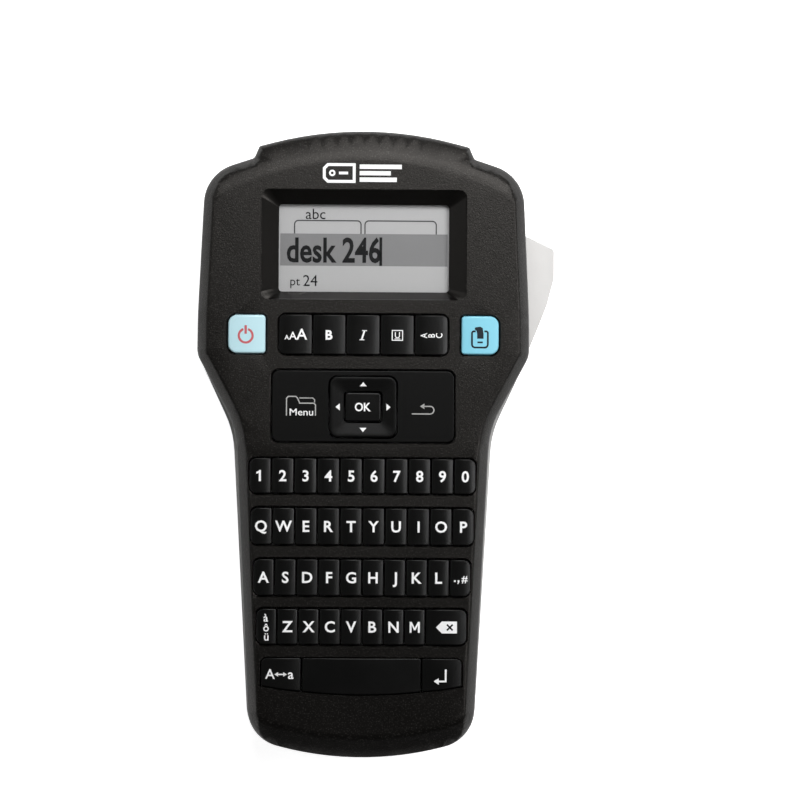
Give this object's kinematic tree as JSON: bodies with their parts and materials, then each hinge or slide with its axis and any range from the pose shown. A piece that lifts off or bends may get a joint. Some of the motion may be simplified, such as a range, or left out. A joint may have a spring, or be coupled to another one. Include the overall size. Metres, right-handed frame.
{
  "type": "label maker",
  "caption": "Hand-held label maker with a recessed display, four-way ring, letter keyboard, side cutter lever, cassette door and battery cover.",
  "frame": {"origin": "on the flat back at the middle of the length and on the centre line", "axes": "+X to the right seen from the keyboard, +Y towards the label exit, +Z out of the keyboard face"},
  "size_m": [0.1185, 0.2064, 0.0474],
  "materials": {
    "black_shell": "fine spark-eroded texture",
    "grey_shell": "fine matt texture",
    "lever_plastic": "smooth satin",
    "black_key": "satin with white printed legends",
    "blue_key": "satin",
    "clear_window": "polished clear",
    "display": "grey liquid crystal display",
    "white_plastic": "smooth moulded",
    "board": "green lacquer",
    "rubber": "matt",
    "steel": "bright",
    "dark_plastic": "smooth moulded",
    "cell_wrap": "shrink sleeve",
    "tape": "paper-backed tape"
  },
  "bodies": {
    "root": {"front_shell": "black_shell", "rear_shell": "grey_shell", "display_window": "clear_window", "case_screws": "steel", "power_jack": "dark_plastic", "main_board": "board", "keypad_mat": "rubber", "lcd_glass": "display", "lcd_frame": "white_plastic", "battery_cells": "cell_wrap", "battery_contacts": "steel", "mechanism_frame": "steel", "drive_motor": "steel", "print_head": "dark_plastic", "gear_pin": "steel", "lever_pin": "steel", "lever_spring": "steel", "label_cassette": "white_plastic", "tape_reel": "tape", "label_tape": "tape"},
    "cutter_lever": {"cutter_lever": "lever_plastic"},
    "cutter_blade": {"cutter_blade": "steel", "cutter_carrier": "dark_plastic"},
    "cassette_door": {"cassette_door": "grey_shell"},
    "battery_cover": {"battery_cover": "grey_shell"},
    "platen_gear": {"platen_gear": "white_plastic", "platen_roller": "rubber"},
    "idler_gear": {"idler_gear": "white_plastic"},
    "motor_pinion": {"motor_pinion": "white_plastic"},
    "ribbon_spindle": {"ribbon_spindle": "white_plastic"},
    "menu_back_rocker": {"menu_back_rocker": "black_key"},
    "nav_hub": {"nav_hub": "dark_plastic"},
    "nav_ring": {"nav_ring": "black_key"},
    "power_key": {"power_key": "blue_key"},
    "print_key": {"print_key": "blue_key"},
    "ok_key": {"ok_key": "black_key"},
    "size_key": {"size_key": "black_key"},
    "bold_key": {"bold_key": "black_key"},
    "italic_key": {"italic_key": "black_key"},
    "border_key": {"border_key": "black_key"},
    "symbol_key": {"symbol_key": "black_key"},
    "caps_key": {"caps_key": "black_key"},
    "space_bar": {"space_bar": "black_key"},
    "enter_key": {"enter_key": "black_key"},
    "accent_key": {"accent_key": "black_key"},
    "punctuation_key": {"punctuation_key": "black_key"},
    "backspace_key": {"backspace_key": "black_key"},
    "letter_keys_q_row": {"letter_keys_q_row": "black_key"},
    "letter_keys_a_row": {"letter_keys_a_row": "black_key"},
    "letter_keys_z_row": {"letter_keys_z_row": "black_key"},
    "digit_1_key": {"digit_1_key": "black_key"},
    "digit_2_key": {"digit_2_key": "black_key"},
    "digit_3_key": {"digit_3_key": "black_key"},
    "digit_4_key": {"digit_4_key": "black_key"},
    "digit_5_key": {"digit_5_key": "black_key"},
    "digit_6_key": {"digit_6_key": "black_key"},
    "digit_7_key": {"digit_7_key": "black_key"},
    "digit_8_key": {"digit_8_key": "black_key"},
    "digit_9_key": {"digit_9_key": "black_key"},
    "digit_0_key": {"digit_0_key": "black_key"}
  },
  "joints": [
    {"name": "lever_pivot", "type": "hinge", "parent": "root", "child": "cutter_lever", "pos_m": [0.04, 0.026, 0.015], "axis": [0, 0, 1], "range_deg": [0, 6], "stiffness_Nm_per_rad": 0.3, "springref_deg": -1.72, "deforming": ["lever_spring"]},
    {"name": "cutter_slide", "type": "slide", "parent": "root", "child": "cutter_blade", "axis": [-1, 0, 0], "range_m": [0, 0.0068]},
    {"name": "door_hinge", "type": "hinge", "parent": "root", "child": "cassette_door", "pos_m": [0, 0.02495, 0.0013], "axis": [-1, 0, 0], "range_deg": [0, 95]},
    {"name": "battery_cover_slide", "type": "slide", "parent": "root", "child": "battery_cover", "axis": [0, -1, 0], "range_m": [0, 0.045]},
    {"name": "platen_spin", "type": "hinge", "parent": "root", "child": "platen_gear", "pos_m": [0.0234, 0.06, 0.015], "axis": [0, 0, 1], "continuous": true},
    {"name": "idler_spin", "type": "hinge", "parent": "root", "child": "idler_gear", "pos_m": [0.03158, 0.05192, 0.026], "axis": [0, 0, 1], "continuous": true},
    {"name": "pinion_spin", "type": "hinge", "parent": "root", "child": "motor_pinion", "pos_m": [0.033, 0.0395, 0.025], "axis": [0, 0, 1], "continuous": true},
    {"name": "ribbon_spin", "type": "hinge", "parent": "root", "child": "ribbon_spindle", "pos_m": [0.01247, 0.04698, 0.015], "axis": [0, 0, 1], "continuous": true},
    {"name": "menu_back_rock", "type": "hinge", "parent": "root", "child": "menu_back_rocker", "pos_m": [0, 0.01245, 0.043], "axis": [0, 1, 0], "range_deg": [-1.5, 1.5], "stiffness_Nm_per_rad": 0.6, "deforming": ["keypad_mat"]},
    {"name": "nav_tilt_up_down", "type": "hinge", "parent": "root", "child": "nav_hub", "pos_m": [0, 0.01245, 0.0393], "axis": [1, 0, 0], "range_deg": [-2.5, 2.5], "stiffness_Nm_per_rad": 0.08},
    {"name": "nav_tilt_left_right", "type": "hinge", "parent": "nav_hub", "child": "nav_ring", "pos_m": [0, 0.01245, 0.0393], "axis": [0, 1, 0], "range_deg": [-2.5, 2.5], "stiffness_Nm_per_rad": 0.08},
    {"name": "power_press", "type": "slide", "parent": "root", "child": "power_key", "axis": [0, 0, -1], "range_m": [0, 0.0012], "stiffness_N_per_m": 150, "deforming": ["keypad_mat"]},
    {"name": "print_press", "type": "slide", "parent": "root", "child": "print_key", "axis": [0, 0, -1], "range_m": [0, 0.0012], "stiffness_N_per_m": 150, "deforming": ["keypad_mat"]},
    {"name": "ok_press", "type": "slide", "parent": "root", "child": "ok_key", "axis": [0, 0, -1], "range_m": [0, 0.0012], "stiffness_N_per_m": 150, "deforming": ["keypad_mat"]},
    {"name": "size_press", "type": "slide", "parent": "root", "child": "size_key", "axis": [0, 0, -1], "range_m": [0, 0.0012], "stiffness_N_per_m": 150, "deforming": ["keypad_mat"]},
    {"name": "bold_press", "type": "slide", "parent": "root", "child": "bold_key", "axis": [0, 0, -1], "range_m": [0, 0.0012], "stiffness_N_per_m": 150, "deforming": ["keypad_mat"]},
    {"name": "italic_press", "type": "slide", "parent": "root", "child": "italic_key", "axis": [0, 0, -1], "range_m": [0, 0.0012], "stiffness_N_per_m": 150, "deforming": ["keypad_mat"]},
    {"name": "border_press", "type": "slide", "parent": "root", "child": "border_key", "axis": [0, 0, -1], "range_m": [0, 0.0012], "stiffness_N_per_m": 150, "deforming": ["keypad_mat"]},
    {"name": "symbol_press", "type": "slide", "parent": "root", "child": "symbol_key", "axis": [0, 0, -1], "range_m": [0, 0.0012], "stiffness_N_per_m": 150, "deforming": ["keypad_mat"]},
    {"name": "caps_press", "type": "slide", "parent": "root", "child": "caps_key", "axis": [0, 0, -1], "range_m": [0, 0.0012], "stiffness_N_per_m": 150, "deforming": ["keypad_mat"]},
    {"name": "space_bar_press", "type": "slide", "parent": "root", "child": "space_bar", "axis": [0, 0, -1], "range_m": [0, 0.0012], "stiffness_N_per_m": 300, "deforming": ["keypad_mat"]},
    {"name": "enter_press", "type": "slide", "parent": "root", "child": "enter_key", "axis": [0, 0, -1], "range_m": [0, 0.0012], "stiffness_N_per_m": 150, "deforming": ["keypad_mat"]},
    {"name": "accent_press", "type": "slide", "parent": "root", "child": "accent_key", "axis": [0, 0, -1], "range_m": [0, 0.0012], "stiffness_N_per_m": 150, "deforming": ["keypad_mat"]},
    {"name": "punctuation_press", "type": "slide", "parent": "root", "child": "punctuation_key", "axis": [0, 0, -1], "range_m": [0, 0.0012], "stiffness_N_per_m": 150, "deforming": ["keypad_mat"]},
    {"name": "backspace_press", "type": "slide", "parent": "root", "child": "backspace_key", "axis": [0, 0, -1], "range_m": [0, 0.0012], "stiffness_N_per_m": 150, "deforming": ["keypad_mat"]},
    {"name": "letters_q_row_press", "type": "slide", "parent": "root", "child": "letter_keys_q_row", "axis": [0, 0, -1], "range_m": [0, 0.0012], "stiffness_N_per_m": 1500, "deforming": ["keypad_mat"]},
    {"name": "letters_a_row_press", "type": "slide", "parent": "root", "child": "letter_keys_a_row", "axis": [0, 0, -1], "range_m": [0, 0.0012], "stiffness_N_per_m": 1500, "deforming": ["keypad_mat"]},
    {"name": "letters_z_row_press", "type": "slide", "parent": "root", "child": "letter_keys_z_row", "axis": [0, 0, -1], "range_m": [0, 0.0012], "stiffness_N_per_m": 1500, "deforming": ["keypad_mat"]},
    {"name": "digit_1_press", "type": "slide", "parent": "root", "child": "digit_1_key", "axis": [0, 0, -1], "range_m": [0, 0.0012], "stiffness_N_per_m": 150, "deforming": ["keypad_mat"]},
    {"name": "digit_2_press", "type": "slide", "parent": "root", "child": "digit_2_key", "axis": [0, 0, -1], "range_m": [0, 0.0012], "stiffness_N_per_m": 150, "deforming": ["keypad_mat"]},
    {"name": "digit_3_press", "type": "slide", "parent": "root", "child": "digit_3_key", "axis": [0, 0, -1], "range_m": [0, 0.0012], "stiffness_N_per_m": 150, "deforming": ["keypad_mat"]},
    {"name": "digit_4_press", "type": "slide", "parent": "root", "child": "digit_4_key", "axis": [0, 0, -1], "range_m": [0, 0.0012], "stiffness_N_per_m": 150, "deforming": ["keypad_mat"]},
    {"name": "digit_5_press", "type": "slide", "parent": "root", "child": "digit_5_key", "axis": [0, 0, -1], "range_m": [0, 0.0012], "stiffness_N_per_m": 150, "deforming": ["keypad_mat"]},
    {"name": "digit_6_press", "type": "slide", "parent": "root", "child": "digit_6_key", "axis": [0, 0, -1], "range_m": [0, 0.0012], "stiffness_N_per_m": 150, "deforming": ["keypad_mat"]},
    {"name": "digit_7_press", "type": "slide", "parent": "root", "child": "digit_7_key", "axis": [0, 0, -1], "range_m": [0, 0.0012], "stiffness_N_per_m": 150, "deforming": ["keypad_mat"]},
    {"name": "digit_8_press", "type": "slide", "parent": "root", "child": "digit_8_key", "axis": [0, 0, -1], "range_m": [0, 0.0012], "stiffness_N_per_m": 150, "deforming": ["keypad_mat"]},
    {"name": "digit_9_press", "type": "slide", "parent": "root", "child": "digit_9_key", "axis": [0, 0, -1], "range_m": [0, 0.0012], "stiffness_N_per_m": 150, "deforming": ["keypad_mat"]},
    {"name": "digit_0_press", "type": "slide", "parent": "root", "child": "digit_0_key", "axis": [0, 0, -1], "range_m": [0, 0.0012], "stiffness_N_per_m": 150, "deforming": ["keypad_mat"]}
  ],
  "couplings": [
    {"joint": "cutter_slide", "follows": "lever_pivot", "m_per_rad": 0.062},
    {"joint": "idler_spin", "follows": "platen_spin", "ratio": -2.2857},
    {"joint": "pinion_spin", "follows": "platen_spin", "ratio": 5.8776},
    {"joint": "ribbon_spin", "follows": "platen_spin", "ratio": -0.88889}
  ]
}
